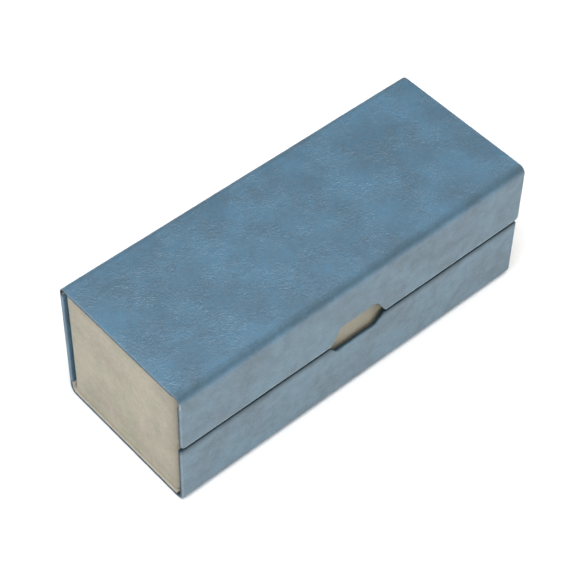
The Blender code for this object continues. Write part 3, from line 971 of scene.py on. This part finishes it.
def blue_leather():
    """Clouded, grained faux leather: dull with painted shade by creases, pale on edges from wear and painted
    highlight.
    """
    shader = Shader("blue_faux_leather")
    cloth = shader.cloth()
    clouds = shader.ramp(shader.noise(cloth, CLOUDS, 3.0, 0.55, 0.3), 0.34, 0.66)
    mottling = shader.ramp(shader.noise(cloth, MOTTLING, 3.0, 0.6), 0.30, 0.70)
    patches = shader.ramp(shader.noise(cloth, GRAIN_PATCHES, 1.0), 0.35, 0.60, 0.35, 1.0)
    grain = leather_grain(shader, cloth)
    tone = shader.weighed((clouds, 0.40), (mottling, 0.22), (grain, 0.38))
    colour = shader.mix(tone, shade(BLUE, 0.60), shade(BLUE, 1.34))
    run_place = shader.node("SeparateXYZ", {0: cloth}, 1)
    # Painted shade: dull, dark bands beside the creases.
    crease_painted_shade = crease_shade(shader, run_place)
    colour = shader.mix(shader.math("MULTIPLY", crease_painted_shade, CREASE_PAINTED_SHADE_SHARE), colour, CREASE_PAINTED_SHADE)
    # Painted sheen and shade on the front panels: greyer and less blue than the lid, as the front is lit.
    off_front = within(shader, run_place, FRONT_CREASE[0] - MM, FRONT_FOLD[1])
    on_front = shader.math("SUBTRACT", 1.0, off_front)
    front_sheen_and_shade = shader.mix(tone, shade(FRONT_PAINTED_SHEEN_AND_SHADE, 0.50), shade(FRONT_PAINTED_SHEEN_AND_SHADE, 1.50))
    colour = shader.mix(shader.math("MULTIPLY", on_front, FRONT_SHEEN_AND_SHADE_SHARE), colour, front_sheen_and_shade)
    # Painted shadow of the flap on the top of the lower panel.
    flap_painted_shadow = shader.ramp(run_place, cover.length - FLAP_SHADOW_REACH, cover.length)
    colour = shader.mix(shader.math("MULTIPLY", flap_painted_shadow, FLAP_SHADOW_SHARE), colour, PAINTED_SHADE)
    # Pale edges from wear and a painted highlight, faint on the lid and the base.
    wear_and_painted_light = shader.attribute("wear_and_painted_light")
    patchy = shader.ramp(shader.noise(cloth, PALE_EDGE_PATCHES, 2.0), 0.35, 0.65, 0.55, 1.0)
    wear_and_highlight = shader.math("MULTIPLY", shader.ramp(wear_and_painted_light, 0.0, 1.0), patchy)
    on_base = within(shader, run_place, REAR_FOLD[0], FRONT_FOLD[1])
    on_lid = within(shader, run_place, FRONT_CREASE[0], BACK_CREASE[1])
    spared = shader.math("MAXIMUM", on_base, on_lid)
    wear_and_highlight = shader.math("MULTIPLY", wear_and_highlight, shader.ramp(spared, 0.0, 1.0, 0.85, 0.04))
    colour = shader.mix(wear_and_highlight, colour, EDGE_WEAR_AND_HIGHLIGHT)
    # Painted shade: on the base, and where the edge value is negative, in the gaps behind turned edges.
    base_painted_shade = shader.math("MULTIPLY", on_base, BASE_PAINTED_SHADE)
    painted_shade = shader.math("MAXIMUM", shader.ramp(wear_and_painted_light, 0.0, -1.0), base_painted_shade)
    colour = shader.mix(shader.math("MULTIPLY", painted_shade, PAINTED_SHADE_SHARE), colour, PAINTED_SHADE)
    dull = shader.weighed((crease_painted_shade, 0.75), (painted_shade, 1.0), (flap_painted_shadow, 0.6))
    shader.bump(shader.math("MULTIPLY", grain, patches), GRAIN_DEPTH)
    return shader.finish(
        base_color=colour,
        roughness=shader.ramp(mottling, 0.0, 1.0, 0.58, 0.50),
        specular_ior_level=shader.ramp(dull, 0.0, 1.0, 1.0, 0.15),
        ior=LEATHER_IOR,
    )


# Where painted shade on the beige begins: towards the front panels, and up towards the lid's edge.
BEIGE_SHADE_FROM_Y = -25 * MM
BEIGE_SHADE_FROM_Z = 58 * MM


def beige_leather():
    """Finely grained faux leather, faintly clouded between a pinkish and a greenish beige."""
    shader = Shader("beige_faux_leather")
    cloth = shader.cloth()
    clouds = shader.ramp(shader.noise(cloth, 13 * MM, 3.0, 0.5), 0.34, 0.66)
    mottling = shader.ramp(shader.noise(cloth, 4 * MM, 2.0), 0.3, 0.7)
    grain = leather_grain(shader, cloth)
    tint = shader.mix(shader.weighed((clouds, 0.75), (mottling, 0.25)), BEIGE_GREENISH, BEIGE_PINKISH)
    broad = shader.ramp(shader.noise(cloth, 20 * MM, 3.0), 0.34, 0.66)
    tone = shader.weighed((broad, 0.40), (grain, 0.60))
    light = shader.mix(tone, shade(WHITE, 0.72), shade(WHITE, 1.08))
    colour = shader.node("Mix", {0: 1.0, 6: tint, 7: light}, 2, data_type="RGBA", blend_type="MULTIPLY")
    y, z = (shader.node("SeparateXYZ", {0: shader.place()}, axis) for axis in (1, 2))
    # Painted shade: darker towards the front, behind the cover's front panels, and near the rim, under the
    # lid's edge.
    front = shader.ramp(y, BEIGE_SHADE_FROM_Y, wrap_low.y, 0.0, 0.45)
    rim = shader.ramp(z, BEIGE_SHADE_FROM_Z, wrap_high.z, 0.0, 0.25)
    colour = shader.mix(shader.math("MAXIMUM", front, rim), colour, BEIGE_PAINTED_SHADE)
    shader.bump(grain, 0.10 * MM)
    return shader.finish(base_color=colour, roughness=shader.ramp(mottling, 0.0, 1.0, 0.62, 0.54))


def suede(name, colour, nap_size):
    """Microfibre suede: a brushed nap in soft patches over very short fibres, with a velvety edge sheen."""
    shader = Shader(name)
    place = shader.place()
    brushed = shader.ramp(shader.noise(place, 9 * MM, 3.0, 0.6, 0.8), 0.35, 0.65)
    nap = shader.noise(place, nap_size, 3.0, 0.65)
    fibres = shader.noise(place, nap_size / 4, 1.0)
    tone = shader.weighed((brushed, 0.40), (shader.ramp(nap, 0.3, 0.7), 0.35), (fibres, 0.25))
    paint = shader.mix(tone, shade(colour, 0.86), shade(colour, 1.12))
    shader.bump(shader.weighed((nap, 0.6), (fibres, 0.4)), 0.15 * MM)
    return shader.finish(base_color=paint, roughness=0.95, sheen_weight=0.35, sheen_roughness=0.45)


def greyboard():
    """Pressed recycled board: short pale and dark fibres on warm grey."""
    shader = Shader("greyboard")
    place = shader.place()
    stretched = shader.stretched(place, 4.0)
    fibres = shader.noise(stretched, 0.5 * MM, 4.0, 0.7)
    flecks = shader.ramp(shader.cells(stretched, 1.3 * MM, "F1"), 0.05, 0.14)
    paint = shader.mix(shader.ramp(fibres, 0.3, 0.7), shade(GREYBOARD, 0.85), shade(GREYBOARD, 1.15))
    paint = shader.mix(flecks, shade(GREYBOARD, 0.55), paint)
    shader.bump(fibres, 0.08 * MM)
    return shader.finish(base_color=paint, roughness=0.92)


def nickel():
    """Nickel plate on a sintered magnet: satin, with faint pitting and scuffs."""
    shader = Shader("nickel_plate")
    place = shader.place()
    pitting = shader.ramp(shader.cells(place, 0.6 * MM, "F1"), 0.05, 0.3)
    scuffs = shader.noise(shader.stretched(place, 20 / 3), 0.3 * MM, 3.0, 0.7)
    paint = shader.mix(scuffs, shade(NICKEL, 0.9), shade(NICKEL, 1.08))
    shader.bump(shader.weighed((pitting, 0.7), (scuffs, 0.3)), 0.02 * MM)
    return shader.finish(base_color=paint, metallic=1.0, roughness=shader.ramp(scuffs, 0.2, 0.8, 0.24, 0.42))


# ---- putting it together --------------------------------------------------------------------------


def dressed(piece, material, node):
    piece.data.materials.clear()
    piece.data.materials.append(material)
    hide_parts(node)
    return piece


COVER_REGIONS = ("flap", "lid", "body", "flap_crease", "lid_crease")


def build_cover(leather, lining):
    flap_path = free_edge(flap_notch, FLAP_CORNER, flap_edge_z, EDGE_ROUNDING)
    lower_path = free_edge(lower_notch, LOWER_CORNER, lower_edge_z, EDGE_ROUNDING)
    lining_path = free_edge(flap_notch, FLAP_CORNER, flap_edge_z, LINING_INSET)
    overlap = CREASE_OVERLAP
    flap_end, lid_start = FRONT_CREASE[0] - overlap, FRONT_CREASE[1] + overlap
    lid_end, body_start = BACK_CREASE[0] - overlap, BACK_CREASE[1] + overlap

    leathers = (
        leather_panel("cover_flap", flap_path, -FLAP_OVERHANG, 1, flap_end, flap_notch[0], FLAP_WEAR_AND_HIGHLIGHT),
        leather_band("cover_lid", lid_start, lid_end),
        leather_panel("cover_body", lower_path, cover.length, -1, body_start, lower_notch[0], LOWER_PAINTED_SHADE_AND_WEAR),
        leather_band("cover_flap_crease", flap_end, lid_start),
        leather_band("cover_lid_crease", lid_end, body_start),
    )
    linings = (
        lining_panel("lining_flap", lining_path, 0.0, flap_end),
        lining_band("lining_lid", lid_start, lid_end, LINING_INSET),
        lining_panel("lining_body", body_lining_edge(body_start), body_start, FRONT_FOLD[0]),
        lining_band("lining_flap_crease", flap_end, lid_start, CREASE_LINING_INSET),
        lining_band("lining_lid_crease", lid_end, body_start, CREASE_LINING_INSET),
    )
    for region, outer, inner in zip(COVER_REGIONS, leathers, linings):
        dressed(outer, leather, region + "_leather")
        dressed(inner, lining, region + "_lining")
    for flap, lid, body, flap_crease, lid_crease in (leathers, linings):
        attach(flap, "flap")
        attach(lid, "lid")
        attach(body, "case")
        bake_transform(flap_crease)
        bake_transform(lid_crease)


def build_tray(covering, lining, pad_cloth):
    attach(dressed(tray_covering(), covering, "tray_wrap"), "case")
    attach(dressed(tray_lining(), lining, "tray_liner"), "case")
    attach(dressed(divider_sleeve(), lining, "divider_cloth"), "case")
    for side in ("front", "rear"):
        cushion = slot_cushion("slot_cushion_" + side, "slot_pad_" + side)
        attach(dressed(cushion, pad_cloth, "slot_pad_" + side), "case")


def dress_frame(board, magnet):
    for name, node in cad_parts.items():
        if name.endswith("_board") or "_magnet_" in name:
            node.material_slots[0].material = board if name.endswith("_board") else magnet


# ---- floor, lights and camera ---------------------------------------------------------------------

FLOOR_SIZE = 6.0
FLOOR_GAP = 0.1 * MM
FLOOR_CONTACT = 0.35 * MM
FLOOR_COLOUR = (0.97, 0.97, 0.97, 1.0)

# The surroundings are bright up to GLOW_FULL, the sine of a direction's elevation, and dim from GLOW_GONE.
GLOW_FULL = 0.22
GLOW_GONE = 0.45
GLOW_SEEN = 1.0
GLOW_LOW = 0.9
GLOW_HIGH = 0.06

# Each softbox: its name, its width and height, its place, the place it faces and its watts.
SOFTBOXES = (
    ("overhead", (1.4, 1.4), (0, 0, 1.5), (0, 0, 0), 3.0),
    ("left", (1.4, 1.4), (-0.55, -0.25, 1.35), (0, 0, 0), 27.0),
    ("right", (1.4, 1.4), (0.7, -0.4, 1.3), (0, 0, 0), 7.5),
    ("front", (1.0, 0.6), (1.1, -1.1, 0.35), (0, 0, 0.03), 3.0),
)

CAMERA_AZIMUTH = math.radians(-42.464)
CAMERA_ELEVATION = math.radians(49.676)
CAMERA_ROLL = math.radians(1.437)
CAMERA_DISTANCE = 0.7549
CAMERA_LENS = 116.71
CAMERA_SENSOR = 36.0
CAMERA_SHIFT = (-3.94 * MM, -3.41 * MM)


def clear_from_below(shader):
    """Clears the back of a surface, and its front from very near, so that light reaches what stands on it."""
    near = shader.math("LESS_THAN", shader.node("LightPath", {}, "Ray Length"), FLOOR_CONTACT)
    clear = shader.math("MAXIMUM", near, shader.node("NewGeometry", {}, "Backfacing"))
    nothing = shader.node("BsdfTransparent", {})
    sides = shader.node("MixShader", {0: clear, 1: shader.surface.outputs[0], 2: nothing})
    shader.feed(shader.tree.nodes["Material Output"].inputs["Surface"], sides)


def floor():
    shape = bmesh.new()
    bmesh.ops.create_grid(shape, x_segments=1, y_segments=1, size=FLOOR_SIZE / 2)
    plane = linked("floor", as_mesh("floor", shape))
    plane.location.z = cad_low.z - FLOOR_GAP
    shader = Shader("floor_paint")
    paint = shader.finish(base_color=FLOOR_COLOUR, roughness=0.9, specular_ior_level=0.0)
    plane.data.materials.append(paint)
    clear_from_below(shader)


def surroundings():
    """A plain world: evenly bright where the camera sees it; as a light, bright low down and dim above."""
    world = bpy.data.worlds.new("surroundings")
    world.use_nodes = True
    nodes, links = world.node_tree.nodes, world.node_tree.links
    background = nodes["Background"]
    height = nodes.new("ShaderNodeSeparateXYZ")
    links.new(nodes.new("ShaderNodeTexCoord").outputs["Generated"], height.inputs[0])
    glow = nodes.new("ShaderNodeMapRange")
    glow.interpolation_type = "SMOOTHSTEP"
    inputs = {"From Min": GLOW_FULL, "From Max": GLOW_GONE, "To Min": GLOW_LOW, "To Max": GLOW_HIGH}
    for key, value in inputs.items():
        glow.inputs[key].default_value = value
    links.new(height.outputs["Z"], glow.inputs["Value"])
    strength = nodes.new("ShaderNodeMix")
    strength.inputs["B"].default_value = GLOW_SEEN
    links.new(nodes.new("ShaderNodeLightPath").outputs["Is Camera Ray"], strength.inputs["Factor"])
    links.new(glow.outputs[0], strength.inputs["A"])
    links.new(strength.outputs[0], background.inputs["Strength"])
    background.inputs["Color"].default_value = (1.0, 1.0, 1.0, 1.0)
    bpy.context.scene.world = world


def softbox(name, size, place, target, watts):
    light = bpy.data.lights.new(name, "AREA")
    light.shape = "RECTANGLE"
    light.size, light.size_y = size
    light.energy = watts
    lamp = linked(name, light)
    lamp.location = place
    lamp.rotation_mode = "QUATERNION"
    lamp.rotation_quaternion = (Vector(target) - Vector(place)).to_track_quat("-Z", "Y")


def camera():
    azimuth, elevation, roll = CAMERA_AZIMUTH, CAMERA_ELEVATION, CAMERA_ROLL
    back = Vector((
        math.sin(azimuth) * math.cos(elevation),
        -math.cos(azimuth) * math.cos(elevation),
        math.sin(elevation),
    ))
    level = Vector((0, 0, 1)).cross(back).normalized()
    upward = back.cross(level)
    right = level * math.cos(roll) + upward * math.sin(roll)
    up = upward * math.cos(roll) - level * math.sin(roll)
    middle = (cad_low + cad_high) / 2
    place = middle + back * CAMERA_DISTANCE + right * CAMERA_SHIFT[0] + up * CAMERA_SHIFT[1]
    lens = bpy.data.cameras.new("camera")
    lens.lens, lens.sensor_width = CAMERA_LENS, CAMERA_SENSOR
    holder = linked("camera", lens)
    holder.matrix_world = Matrix.Translation(place) @ Matrix((right, up, back)).transposed().to_4x4()
    bpy.context.scene.camera = holder


def studio():
    floor()
    surroundings()
    for box in SOFTBOXES:
        softbox(*box)
    camera()
    bpy.context.scene.view_settings.view_transform = "Standard"


suede_lining = suede("beige_suede", SUEDE, 0.8 * MM)
build_cover(blue_leather(), suede_lining)
build_tray(beige_leather(), suede_lining, suede("cushion_suede", CUSHION, 1.1 * MM))
dress_frame(greyboard(), nickel())
studio()
